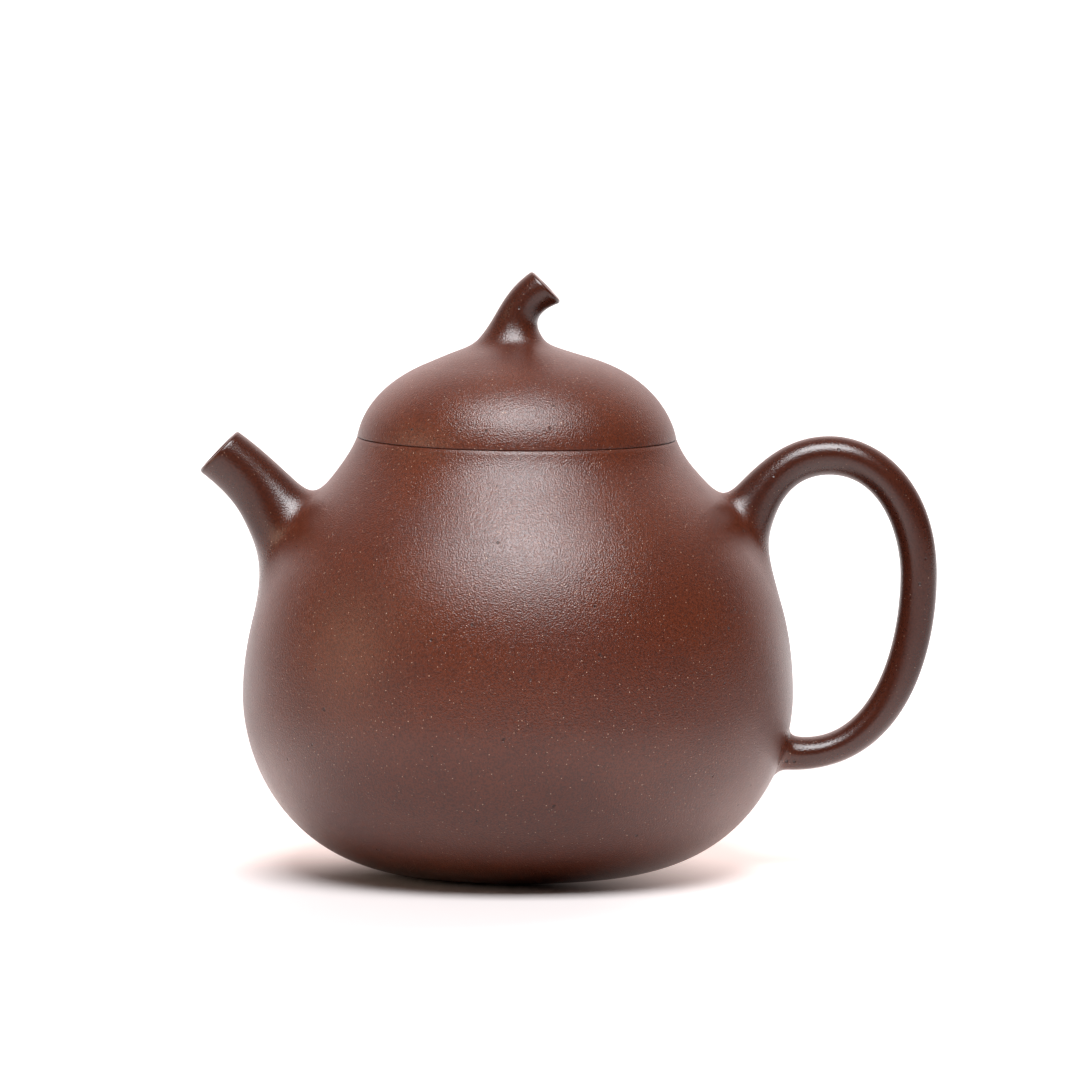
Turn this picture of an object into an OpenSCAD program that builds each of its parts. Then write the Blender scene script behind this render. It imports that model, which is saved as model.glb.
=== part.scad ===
// A thrown-and-luted clay teapot with a lid that carries on the curve of its body.
// The pot stands on z = 0 with its axis on the z axis. The spout points to -x and the
// handle to +x. Every curve below is drawn in the x-z plane.

/* [Body] */
// Widest outside radius of the belly
belly_r = 51; // [48:0.5:54]
// Height of the widest part of the belly
belly_z = 32.5; // [30:0.5:35]
// Height of the flat seat that the lid rests on
seat_z = 80; // [78:0.5:83]
// Outside radius of the pot at the seat
seat_r = 29.7; // [28.5:0.1:31]
// Radius of the flat foot
foot_r = 24; // [21:0.5:26]
// Thickness of the clay wall
wall = 3; // [2.6:0.1:3.4]
// Width of the ring under the foot that touches the table
foot_ring_w = 5; // [3:0.5:7]
// How far the middle of the base is pressed in
base_dish = 1; // [0.6:0.1:1.6]
// Depth of the shoulder, from the seat down to the upright wall
shoulder_h = 8; // [6:0.5:9]
// Width of the flat seat round the mouth
seat_w = 6.7; // [6:0.1:7.5]
// Height of the mouth ring's outer edge
mouth_edge_h = 1.8; // [1.4:0.1:2.4]

/* [Lid] */
// Height of the lid's dome above the seat
dome_h = 16.5; // [14:0.5:18]
// Gap between the lid's collar and the mouth, on each side
collar_gap = 0.3; // [0.2:0.05:0.4]
// Thickness of the collar
collar_wall = 2.8; // [2.2:0.1:3.2]
// How far the collar hangs down into the mouth
collar_h = 9; // [6:0.5:11]
// Height of the lid's edge up to where the dome is joined to its ring
lid_edge_h = 2.8; // [2.2:0.1:3.4]
// Rounding of the two edges that meet at the seam
seam_edge = 0.4; // [0.2:0.1:0.6]

/* [Stem knob] */
// Height of the stem's highest point above the dome
stem_h = 14; // [12:0.2:16]
// Spread of the stem's root over the dome
stem_root_w = 23.5; // [21:0.5:25]
// Sideways lean of the stem's top
stem_lean = 2.5; // [1:0.1:3]
// Height of the stem's neck above the dome
neck_h = 4.6; // [4:0.1:5.2]
// Width of the stem's cut end
cut_w = 7.8; // [7:0.1:8.2]
// Diameter of the air hole through the stem
vent_d = 2.4; // [1.6:0.1:2.8]

/* [Spout] */
// How far the lower lip reaches beyond the belly
spout_reach = 7.9; // [6:0.1:9]
// Height of the upper lip above the seat
spout_rise = 1.3; // [-1:0.1:2]
// Outside diameter of the spout at its lip
spout_tip_d = 10.2; // [9.6:0.1:11]
// Depth of the upper edge of the spout's root below the seat
spout_drop = 12; // [10:0.2:14]
// Height of the spout's root, from its lower edge to its upper edge
spout_root_h = 13.4; // [12.4:0.1:14.4]
// Width of the spout's root across the pot
spout_root_w = 19; // [17:0.5:21]
// Radius of the bore where it leaves the body
bore_root_r = 5.8; // [5.4:0.1:6]
// Radius of the bore at the lip
bore_tip_r = 3.4; // [3:0.1:3.6]

/* [Strainer] */
// Outside radius of the strainer's dome
strainer_r = 8.4; // [8:0.1:9]
// Thickness of the strainer
strainer_wall = 1.5; // [1.2:0.1:1.7]
// Diameter of each strainer hole
strainer_hole_d = 1.3; // [1:0.1:1.5]
// Rings of holes around the middle one
strainer_rings = 3; // [1:1:3]
// How far the dome's centre lies inside the spout's root
strainer_in = 1.4; // [1:0.1:2]
// Angle between one ring of holes and the next, in degrees
strainer_pitch = 16; // [14:0.5:17]

/* [Handle] */
// How far the back of the handle stands out from the belly
handle_reach = 26.6; // [24:0.2:30]
// Height of the handle's crown above the seat
handle_rise = 0.3; // [-2:0.1:2]
// Distance of the handle's crown beyond the belly
handle_crown_out = 6.6; // [5:0.2:8]
// Depth of the handle's rearmost point below the seat
handle_back_drop = 25.5; // [22:0.5:30]
// Depth of the upper edge of the handle's upper root below the seat
handle_drop = 12.5; // [11:0.1:14]
// Height of the handle's upper root, from its lower edge to its upper edge
handle_root_h = 11.9; // [11:0.1:13]
// Height of the underside of the handle's lower end
handle_low_z = 18.2; // [17:0.1:20]
// Thickness of the handle at its crown
handle_t = 7.2; // [6.6:0.1:8]
// How much thinner the handle is at its lower end
handle_thinning = 1.1; // [0.6:0.1:1.4]
// Width of the handle from side to side
handle_w = 7.8; // [7:0.1:9]

/* [Hidden] */
$fn = 96;
clay = "#5d3a2e";

// Curve steps along one span, and points around a section
outline_steps = 16;
loft_steps = 12;
loft_sides = 28;
edge_steps = 3;
// How far a piece starts under the surface that it is luted to, before it is cut to fit
bury = 2.2;
// The same at the lower edge of a root that flares onto the surface
flare_bury = 0.6;
// How far a cutting tool runs past what it cuts
over = 1;

// ---- Curves ----------------------------------------------------------------------
// A rail is a list of knots [x, z, heading, pull back, pull ahead]: the curve passes
// through (x, z) at that heading. A pull says how far the curve holds the heading, as a
// share of the straight distance to the next knot on that side.

function along(angle) = [cos(angle), sin(angle)];

function bezier(a, b, c, d, f) =
    pow(1 - f, 3) * a + 3 * pow(1 - f, 2) * f * b + 3 * (1 - f) * f * f * c + pow(f, 3) * d;

function span_point(k0, k1, f) =
    let (a = [k0[0], k0[1]])
    let (d = [k1[0], k1[1]])
    let (chord = norm(d - a))
    bezier(a, a + k0[4] * chord * along(k0[2]), d - k1[3] * chord * along(k1[2]), d, f);

// The point of a rail at t, which runs from 0 to the number of spans
function rail_point(rail, t) =
    let (i = min(floor(t), len(rail) - 2))
    span_point(rail[i], rail[i + 1], t - i);

// The same point moved to the left of the rail's heading
function inset_point(rail, t, depth) =
    let (step = 0.01)
    let (t0 = max(t - step, 0))
    let (t1 = min(t + step, len(rail) - 1))
    let (way = rail_point(rail, t1) - rail_point(rail, t0))
    rail_point(rail, t) + depth * [-way.y, way.x] / norm(way);

function steps_between(t0, t1, n) = [for (i = [0 : n]) t0 + (t1 - t0) * i / n];

// The outline of a wall of even thickness between t0 and t1 of its outer rail
function band(rail, t0, t1, n) = concat(
    [for (t = steps_between(t0, t1, n)) rail_point(rail, t)],
    [for (t = steps_between(t1, t0, n)) inset_point(rail, t, wall)]);

// A quarter-round edge of radius r about a centre, from angle a0 to angle a1
function rounded(centre, r, a0, a1) =
    [for (a = steps_between(a0, a1, edge_steps)) centre + r * along(a)];

// ---- Outlines of the pot and the lid ----------------------------------------------

body_rail = [
    [foot_r, 0, 10, 0, 0.5],
    [belly_r, belly_z, 90, 0.25, 0.575],
    [seat_r, seat_z, 110, 0.22, 0]];
body_table = [for (t = steps_between(0, 2, 4 * outline_steps))
    let (p = rail_point(body_rail, t))
    [p.y, p.x]];
body_z_table = [for (t = steps_between(1, 2, 2 * outline_steps)) [rail_point(body_rail, t).y, t]];

// Outside radius of the pot at a height
function body_r(z) = lookup(z, body_table);

lid_rail = [
    [seat_r, seat_z, 100, 0, 0.2],
    [0, seat_z + dome_h, 180, 0.62, 0]];
lid_table = [for (t = steps_between(1, 0, 2 * outline_steps)) rail_point(lid_rail, t)];
lid_z_table = [for (t = steps_between(0, 1, 2 * outline_steps)) [rail_point(lid_rail, t).y, t]];

// Height of the dome at a distance from the axis
function lid_z(r) = lookup(r, lid_table);

// Places on the rails where one piece is luted to the next
shoulder_t = lookup(seat_z - shoulder_h, body_z_table);
ring_t = lookup(seat_z - mouth_edge_h, body_z_table);
rim_t = lookup(seat_z - seam_edge, body_z_table);
lid_rim_t = lookup(seat_z + seam_edge, lid_z_table);
lid_ring_t = lookup(seat_z + lid_edge_h, lid_z_table);

mouth_r = seat_r - seat_w;
collar_r = mouth_r - collar_gap;
collar_bore_r = collar_r - collar_wall;

module turned() {
    rotate([0, 0, 90]) rotate_extrude() children();
}

// ---- Two-rail loft ----------------------------------------------------------------
// Each section is an ellipse that spans the two rails at the same t. Its width across
// the x-z plane comes from a list of half widths.

function section(a, b, half_w) =
    let (middle = (a + b) / 2)
    let (u = (a - b) / 2)
    [for (i = [0 : loft_sides - 1])
        let (v = 360 * i / loft_sides)
        [middle.x + u.x * cos(v), half_w * sin(v), middle.y + u.y * cos(v)]];

// Sections that round the end of a loft over, going on along its own end normal. The
// side is 1 where the loft ends to the right of the way from b to a, and -1 to the left.
function end_sections(a, b, half_w, edge, side) =
    let (middle = (a + b) / 2)
    let (u = (a - b) / 2)
    let (out = side * [u.y, -u.x] / norm(u))
    [for (v = steps_between(0, 90, edge_steps))
        let (shrink = edge * (1 - cos(v)))
        let (k = 1 - shrink / norm(u))
        let (centre = middle + edge * sin(v) * out)
        section(centre + k * u, centre - k * u, half_w - shrink)];

module skin(rings) {
    n = loft_sides;
    last = len(rings) - 1;
    points = [for (ring = rings) each ring];
    sides = [for (i = [0 : last - 1]) for (j = [0 : n - 1])
        [i * n + j, (i + 1) * n + j, (i + 1) * n + (j + 1) % n, i * n + (j + 1) % n]];
    start_cap = [for (j = [0 : n - 1]) j];
    end_cap = [for (j = [n - 1 : -1 : 0]) last * n + j];
    polyhedron(points = points, faces = concat([start_cap, end_cap], sides), convexity = 6);
}

// ---- The pot ----------------------------------------------------------------------

module pot_envelope() {
    outer = [for (t = concat(steps_between(0, 1, outline_steps), steps_between(1, shoulder_t, outline_steps),
        steps_between(shoulder_t, ring_t, 4), [rim_t])) rail_point(body_rail, t)];
    turned() polygon(concat([[0, 0]], outer, [[0, seat_z - seam_edge]]));
}

module base_disc() {
    ring_inner = foot_r - foot_ring_w;
    dish_r = (ring_inner * ring_inner + base_dish * base_dish) / (2 * base_dish);
    dish_a = asin(ring_inner / dish_r);
    dish_centre = [0, base_dish - dish_r];
    joint = inset_point(body_rail, 0, wall);
    dish = [for (a = steps_between(90 - dish_a / 8, 90 - dish_a, 7)) dish_centre + dish_r * along(a)];
    color(clay) turned() polygon(concat([[0, base_dish]], dish, [[foot_r, 0], joint, [0, joint.y + base_dish]]));
}

module body_wall() {
    lower = band(body_rail, 0, 1, outline_steps);
    upper = band(body_rail, 1, shoulder_t, outline_steps);
    outer = concat([for (i = [0 : outline_steps]) lower[i]], [for (i = [1 : outline_steps]) upper[i]]);
    last = 2 * outline_steps + 1;
    inner = concat([for (i = [outline_steps + 1 : last]) upper[i]], [for (i = [outline_steps + 2 : last]) lower[i]]);
    color(clay) difference() {
        turned() polygon(concat(outer, inner));
        on_spout_axis() translate([0, 0, -2 * wall]) cylinder(h = 4 * wall, r = bore_root_r);
    }
}

module shoulder_disc() {
    color(clay) turned() polygon(band(body_rail, shoulder_t, ring_t, 4));
}

module mouth_ring() {
    joint = inset_point(body_rail, ring_t, wall);
    outer_edge = rounded([seat_r - seam_edge, seat_z - seam_edge], seam_edge, 20, 90);
    inner_edge = rounded([mouth_r + seam_edge, seat_z - seam_edge], seam_edge, 90, 180);
    under_edge = rounded([mouth_r + seam_edge, joint.y + seam_edge], seam_edge, 180, 270);
    outer = [rail_point(body_rail, ring_t), rail_point(body_rail, rim_t)];
    color(clay) turned() polygon(concat(outer, outer_edge, inner_edge, under_edge, [joint]));
}

// ---- Spout ------------------------------------------------------------------------

spout_top_z = seat_z - spout_drop;
spout_low_z = spout_top_z - spout_root_h;
// The lip's rounded edge, and the tilt of the lip's plane from upright
spout_lip = 0.6;
tip_lean = 44;
tip_low = [
    -belly_r - spout_reach + spout_lip * cos(tip_lean),
    seat_z + spout_rise - spout_tip_d * cos(tip_lean) - spout_lip * sin(tip_lean)];
tip_top = tip_low + spout_tip_d * [sin(tip_lean), cos(tip_lean)];
spout_top = [
    [bury - body_r(spout_top_z), spout_top_z, 148, 0, 0.26],
    [tip_top.x, tip_top.y, 144, 0.4, 0]];
spout_low = [
    [flare_bury - body_r(spout_low_z), spout_low_z, 117, 0, 0.44],
    [tip_low.x, tip_low.y, 142, 0.5, 0]];

function spout_middle(t) = (rail_point(spout_top, t) + rail_point(spout_low, t)) / 2;

// The spout's axis where it goes through the wall
root_middle = spout_middle(0);
root_way = spout_middle(0.5) - root_middle;
spout_tilt = atan2(-root_way.x, root_way.y);

// Puts a child's z axis on the spout's axis, with its origin in the root
module on_spout_axis() {
    translate([root_middle.x, 0, root_middle.y]) rotate([0, -spout_tilt, 0]) children();
}

// A round section of the bore at t, which narrows from the root to the lip
function bore_section(t) =
    let (middle = spout_middle(t))
    let (across = rail_point(spout_top, t) - rail_point(spout_low, t))
    let (r = bore_root_r + (bore_tip_r - bore_root_r) * t)
    let (u = across * r / norm(across))
    section(middle + u, middle - u, r);

function shifted(points, way) = [for (p = points) p + [way.x, 0, way.y]];

module spout() {
    flare = (spout_root_w - spout_tip_d) / 2;
    rings = [for (t = steps_between(0, 1, loft_steps))
        section(rail_point(spout_top, t), rail_point(spout_low, t), spout_tip_d / 2 + flare * pow(1 - t, 2.4))];
    lip = end_sections(tip_top, tip_low, spout_tip_d / 2, spout_lip, -1);
    rounded_tip = [for (i = [1 : edge_steps]) lip[i]];
    bore = [for (t = steps_between(0, 1, loft_steps / 2)) bore_section(t)];
    past_root = shifted(bore[0], -root_way * bury / norm(root_way));
    past_tip = shifted(bore[loft_steps / 2], 2 * spout_lip * along(90 + tip_lean));
    color(clay) difference() {
        skin(concat(rings, rounded_tip));
        pot_envelope();
        skin(concat([past_root], bore, [past_tip]));
    }
}

// A ball strainer over the inside of the spout's hole. Its rim is cut to the inside of
// the wall, and its holes stand in rings about the spout's axis.

module pot_cavity() {
    inner = [for (t = concat(steps_between(0, 1, outline_steps), steps_between(1, shoulder_t, outline_steps)))
        inset_point(body_rail, t, wall)];
    top_z = inner[len(inner) - 1].y;
    turned() polygon(concat([[0, inner[0].y]], inner, [[0, top_z]]));
}

module strainer_hole(lean, turn) {
    rotate([180 + lean, 0, turn]) translate([0, 0, strainer_r - strainer_wall - over])
        cylinder(h = strainer_wall + 2 * over, d = strainer_hole_d, $fn = 32);
}

module in_strainer() {
    on_spout_axis() translate([0, 0, -strainer_in]) children();
}

module strainer() {
    color(clay) difference() {
        intersection() {
            in_strainer() sphere(r = strainer_r);
            pot_cavity();
        }
        in_strainer() sphere(r = strainer_r - strainer_wall);
        in_strainer() strainer_hole(0, 0);
        for (ring = [1 : strainer_rings])
            for (i = [0 : 6 * ring - 1])
                in_strainer() strainer_hole(ring * strainer_pitch, 360 / (6 * ring) * i);
    }
}

// ---- Handle -----------------------------------------------------------------------

crown_z = seat_z + handle_rise;
back_x = belly_r + handle_reach;
back_t = handle_t - handle_thinning / 3;
low_t = handle_t - handle_thinning;
handle_back_z = seat_z - handle_back_drop;
handle_root_z = seat_z - handle_drop;
root_low_z = handle_root_z - handle_root_h;
low_flare = 0.9;
handle_outer = [
    [body_r(handle_root_z) - bury, handle_root_z, 34, 0, 0.24],
    [belly_r + handle_crown_out, crown_z, 0, 0.45, 0.31],
    [back_x, handle_back_z, -90, 0.5, 0.33],
    [belly_r, handle_low_z, -180, 0.46, 0.33],
    [body_r(handle_low_z) - bury, handle_low_z, -180, 0.33, 0]];
handle_inner = [
    [body_r(root_low_z) - flare_bury, root_low_z, 79, 0, 0.1],
    [belly_r + handle_crown_out, crown_z - handle_t, 0, 0.55, 0.41],
    [back_x - back_t, handle_back_z, -90, 0.34, 0.36],
    [belly_r + bury, handle_low_z + low_t, -180, 0.37, 0.25],
    [body_r(handle_low_z + low_t) - bury, handle_low_z + low_t + low_flare, -190, 0.33, 0]];
handle_spans = len(handle_outer) - 1;

root_flare = 3;

// Half width of the handle, wider where it is luted to the pot
function handle_half_w(t) =
    handle_w / 2 + root_flare * pow(max(1 - t, 0), 2) + low_flare * pow(max(t - handle_spans + 1, 0), 2);

module handle() {
    bend_ts = steps_between(0, handle_spans - 1, (handle_spans - 1) * loft_steps);
    root_ts = steps_between(handle_spans - 2 / 3, handle_spans, 2);
    rings = [for (t = concat(bend_ts, root_ts))
        section(rail_point(handle_outer, t), rail_point(handle_inner, t), handle_half_w(t))];
    color(clay) difference() {
        skin(rings);
        pot_envelope();
    }
}

// ---- Lid --------------------------------------------------------------------------

module dome_envelope() {
    outer = [for (t = steps_between(lid_rim_t, 1, 2 * outline_steps)) rail_point(lid_rail, t)];
    turned() polygon(concat([[0, outer[0].y]], outer));
}

module lid_dome() {
    // The last inset point is set on the axis, so that the dome closes
    last_t = 0.995;
    top = rail_point(lid_rail, 1);
    outer = [for (t = steps_between(lid_ring_t, last_t, outline_steps)) rail_point(lid_rail, t)];
    inner = [for (t = steps_between(last_t, lid_ring_t, outline_steps)) inset_point(lid_rail, t, wall)];
    color(clay) difference() {
        turned() polygon(concat(outer, [top, top - [0, wall]], inner));
        stem_vent();
    }
}

module lid_seat_ring() {
    joint = inset_point(lid_rail, lid_ring_t, wall);
    outer = [for (t = steps_between(lid_rim_t, lid_ring_t, 3)) rail_point(lid_rail, t)];
    rim = rounded([seat_r - seam_edge, seat_z + seam_edge], seam_edge, 270, 350);
    color(clay) turned() polygon(concat([[collar_bore_r, seat_z]], rim, outer, [joint, [collar_bore_r, joint.y]]));
}

module lid_collar() {
    low = seat_z - collar_h;
    edge = 0.8;
    outer_edge = rounded([collar_r - edge, low + edge], edge, 270, 360);
    inner_edge = rounded([collar_bore_r + edge, low + edge], edge, 180, 270);
    color(clay) turned() polygon(concat([[collar_bore_r, seat_z]], inner_edge, outer_edge, [[collar_r, seat_z]]));
}

// ---- Stem knob --------------------------------------------------------------------

stem_bury = 0.9;
stem_x = stem_root_w / 2;
// How far the stem's root is set to the spout's side
stem_shift = 0.15;
// The stem's end is cut off square to its own lean, and its edge is worn round
stem_edge = 0.6;
cut_lean = 44;
stem_top = [stem_lean, seat_z + dome_h + stem_h];
stem_cut_low = stem_top + cut_w * along(cut_lean - 90);
stem_left = [
    [-stem_x - stem_shift, lid_z(stem_x) - stem_bury, 30, 0, 0.47],
    [stem_top.x, stem_top.y, 36, 0.41, 0]];
stem_right = [
    [stem_x - stem_shift, lid_z(stem_x) - stem_bury, 174, 0, 0.3],
    [stem_cut_low.x, stem_cut_low.y, 20, 0.88, 0]];
stem_cut_middle = (stem_top + stem_cut_low) / 2;
stem_neck = [0, seat_z + dome_h + neck_h];
vent_way = stem_cut_middle - stem_neck;

// The air hole goes down from the cut end to the stem's neck, then straight down
module stem_vent() {
    vent_low = seat_z + dome_h - wall - over;
    translate([stem_neck.x, 0, stem_neck.y]) rotate([0, atan2(vent_way.x, vent_way.y), 0])
        cylinder(h = norm(vent_way) + 3 * over, d = vent_d, $fn = 32);
    translate([stem_neck.x, 0, vent_low])
        cylinder(h = stem_neck.y - vent_low + vent_d / 4, d = vent_d, $fn = 32);
}

module stem_knob() {
    root_extra = (stem_root_w - cut_w) / 2;
    rings = [for (t = steps_between(0, 1, loft_steps))
        section(rail_point(stem_left, t), rail_point(stem_right, t), cut_w / 2 + root_extra * pow(1 - t, 3))];
    cut = end_sections(stem_top, stem_cut_low, cut_w / 2, stem_edge, 1);
    rounded_cut = [for (i = [1 : edge_steps]) cut[i]];
    color(clay) difference() {
        skin(concat(rings, rounded_cut));
        dome_envelope();
        stem_vent();
    }
}

base_disc();
body_wall();
shoulder_disc();
mouth_ring();
spout();
strainer();
handle();
lid_dome();
lid_seat_ring();
lid_collar();
stem_knob();
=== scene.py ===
import math

import bmesh
import bpy
import numpy as np
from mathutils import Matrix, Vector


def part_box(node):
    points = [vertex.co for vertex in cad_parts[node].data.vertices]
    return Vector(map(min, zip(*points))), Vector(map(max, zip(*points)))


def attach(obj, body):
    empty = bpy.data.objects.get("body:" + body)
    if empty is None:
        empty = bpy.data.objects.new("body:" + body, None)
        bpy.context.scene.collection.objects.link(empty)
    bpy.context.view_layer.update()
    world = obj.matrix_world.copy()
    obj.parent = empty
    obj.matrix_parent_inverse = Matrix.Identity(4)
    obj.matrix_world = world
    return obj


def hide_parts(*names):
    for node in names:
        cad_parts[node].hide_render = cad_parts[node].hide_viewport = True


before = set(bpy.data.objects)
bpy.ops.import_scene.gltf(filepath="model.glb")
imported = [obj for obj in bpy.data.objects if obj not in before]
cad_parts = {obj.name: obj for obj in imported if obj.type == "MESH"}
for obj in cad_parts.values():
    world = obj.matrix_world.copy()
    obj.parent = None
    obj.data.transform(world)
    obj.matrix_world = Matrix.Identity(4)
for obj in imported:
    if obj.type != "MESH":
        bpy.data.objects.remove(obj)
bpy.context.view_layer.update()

# Looks of a clay teapot, drawn over its solids. All shapes are worked out in millimetres
# and are turned into metres where a mesh is made. The spout points to -x, the handle to
# +x and the pot's axis is the z axis.
MM = 0.001


def solid_box(node):
    """Lowest and highest corner of one of the frame's solids, in millimetres."""
    low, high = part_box(node)
    return np.array(low) / MM, np.array(high) / MM


# ---- Sizes taken from the solids -----------------------------------------------------

belly_r = solid_box("body_wall")[1][1]
seat_r = solid_box("lid_seat_ring")[1][1]
seat_z = solid_box("mouth_ring")[1][2]
dome_z = solid_box("lid_dome")[1][2]
back_x = solid_box("handle")[1][0]
crown_z = solid_box("handle")[1][2]
collar_r = solid_box("lid_collar")[1][1]
collar_low = solid_box("lid_collar")[0][2]

# ---- Sizes of the body and the lid ---------------------------------------------------

wall = 3
belly_z = 32.5
foot_r = 24
foot_ring_w = 5
# Where the outline starts above the foot's edge, as a share of the way up to the belly
foot_t = 0.03
# How far in from the foot's edge its flat starts, and where the flat and the pressed middle end
foot_edge_w = 0.84
ring_margin = 0.4
dish_margin = 0.3
base_dish = 1
# The fillet inside, between wall and floor: its width, its rise and the pulls of its curve
floor_fillet = 4
fillet_rise = 0.3
fillet_pulls = ([1, 0.4], [-1, 0.1])
# Where the inside of the wall passes into the fillet, as foot_t
inner_low_t = 0.12
# The mouth and the seam, and the ring and the collar of the lid
mouth_r = seat_r - 6.7
seam_edge = 0.22
mouth_edge_h = 1.8
lid_ring_h = 2.8
collar_wall = 2.8
collar_edge = 0.8
seam_gap = 0.06

# ---- Sizes of the spout, the handle and the stem -------------------------------------

# How deep roots start inside the body, on their outer and their flared side, and how far a
# blend's last row goes under the skin
bury = 2.2
flare_bury = 0.6
skirt = 1.2

# The spout: how far its tip stands out from the belly and above the seam, its size at the tip
# and the root, its heights on the wall, its rounded lip, the lean of its mouth and its bore
spout_reach = 7.88
spout_rise = 1.3
spout_tip_d = 10.2
spout_root_w = 19
spout_top_z = seat_z - 12
spout_low_z = spout_top_z - 13.4
spout_lip = 0.6
lip_inner_edge = 0.35
tip_lean = 44
bore_root_r = 5.8
bore_tip_r = 3.4
# How much wider than the bore its cutter is, and how far it reaches into the pot and the spout
cutter_play = 0.05
cutter_in = 7
cutter_out = 4
# Where the visible bore ends inside the wall, on the spout's rails
bore_end_t = 0.08

# The handle: its thickness at the crown and what it loses on the way down, its width, the
# heights of its back, of its upper root and of its lower root, and how the roots widen
handle_t = 7.2
handle_thinning = 1.1
handle_w = 7.8
handle_back_z = seat_z - 25.5
handle_root_z = seat_z - 12.5
handle_root_low_z = handle_root_z - 11.9
handle_low_z = 18.2
root_flare = 3
low_flare = 0.9

# The stem: where its top is, the size and place of its root, its rounded edge, the width and
# lean of its cut end, and the height of its neck above the dome
stem_lean = 2.5
stem_h = 14
stem_root_w = 23.5
stem_shift = 0.15
stem_bury = 0.9
stem_edge = 0.6
cut_w = 7.8
cut_lean = 44
neck_h = 4.6
# The air hole: its radius, its rounded edge, where it turns down below the neck and where it
# ends under the dome's top
vent_r = 1.2
vent_edge = 0.25
vent_turn = 2.2
vent_end = 0.6
# How much wider the hole through the dome is made than the air hole that fills it
vent_play = 0.05

# ---- Fineness of the meshes ----------------------------------------------------------

# Columns of points round each piece
turns = 240
spout_columns = 72
handle_columns = 48
stem_columns = 64
# Rows of points along the outlines
flank_rows = 56
dome_rows = 70
inner_rows = 40
spout_rows = 22
handle_rows = 120
stem_rows = 30
bore_rows = 14
blend_rows = 24
low_blend_rows = 10
# Turns of a rounded outer edge, shares of the way in over the flat and turns of a hole's edge
edge_turns = (22.5, 45, 67.5, 90)
flat_shares = (0.35, 0.7, 1)
hole_turns = (30, 60, 90)
# Rings of an end that belong to its hole, which is raw inside
hole_rings = 4
# Points of a skin
skin_points = 3000
# Steps in which a loft is searched for the place where it meets a surface
meet_steps = 600


# ---- Blends round the roots ----------------------------------------------------------
# A blend starts on the part and ends on the body or the lid, both measured from where the two
# meet. Three numbers are for the high rail, both sides and the low rail.

blend_keep = (0.8, 0.92, 0.78)
spout_blend_start = (5.5, 7, 10)
spout_blend_end = (4.5, 7, 9)
handle_blend_start = (5, 7, 9)
handle_blend_end = (4.5, 7, 8)
low_blend_start = 2.4
low_blend_end = 1.8
low_blend_hold = 0.7
low_blend_ease = 0.75
stem_blend_start = 5
stem_blend_end = (7.5, 9, 5.5)
stem_blend_hold = 0.8
stem_blend_ease = 0.78
# How strongly a blend is kept off the skin: where it would just touch, its middle is lifted by
# half of this
blend_lift = 0.5


# ---- Curves --------------------------------------------------------------------------
# A rail is a list of knots [x, z, heading, pull back, pull ahead], with the pulls as
# shares of the straight distance to the next knot.

def along(degrees):
    a = np.radians(degrees)
    return np.stack([np.cos(a), np.sin(a)], axis=-1)


def unit(v):
    return v / np.linalg.norm(v, axis=-1, keepdims=True)


def bezier(a, b, c, d, f):
    f = np.asarray(f, float)[..., None]
    g = 1 - f
    return g ** 3 * a + 3 * g * g * f * b + 3 * g * f * f * c + f ** 3 * d


def eased(a, b, c, d, f):
    """A curve with the ends and headings of a bezier, but straight where it starts and ends."""
    total = 0
    for i, point in enumerate([a, (a + b) / 2, b, c, (c + d) / 2, d]):
        total = total + math.comb(5, i) * (1 - f) ** (5 - i) * f ** i * point
    return total


def rail_points(rail, t):
    t = np.asarray(t, float)
    knots = np.array(rail, float)
    i = np.clip(np.floor(t).astype(int), 0, len(rail) - 2)
    k0 = knots[i]
    k1 = knots[i + 1]
    a = k0[..., :2]
    d = k1[..., :2]
    chord = np.linalg.norm(d - a, axis=-1, keepdims=True)
    b = a + k0[..., 4:5] * chord * along(k0[..., 2])
    c = d - k1[..., 3:4] * chord * along(k1[..., 2])
    return bezier(a, b, c, d, t - i)


def rail_sides(rail, t):
    """Unit vectors to the right of the rail's heading."""
    step = 0.001
    t = np.asarray(t, float)
    ahead = rail_points(rail, np.minimum(t + step, len(rail) - 1))
    way = unit(ahead - rail_points(rail, np.maximum(t - step, 0)))
    return np.stack([way[..., 1], -way[..., 0]], axis=-1)


def inset_points(rail, t, depth):
    return rail_points(rail, t) - depth * rail_sides(rail, t)


def arc(centre, radius, a0, a1, steps=5):
    return np.array(centre) + radius * along(np.linspace(a0, a1, steps))


# ---- Outlines ------------------------------------------------------------------------

body_rail = [
    [foot_r, 0, 10, 0, 0.5],
    [belly_r, belly_z, 90, 0.25, 0.575],
    [seat_r, seat_z, 110, 0.22, 0]]
lid_rail = [
    [seat_r, seat_z, 100, 0, 0.2],
    [0, dome_z, 180, 0.62, 0]]


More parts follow.
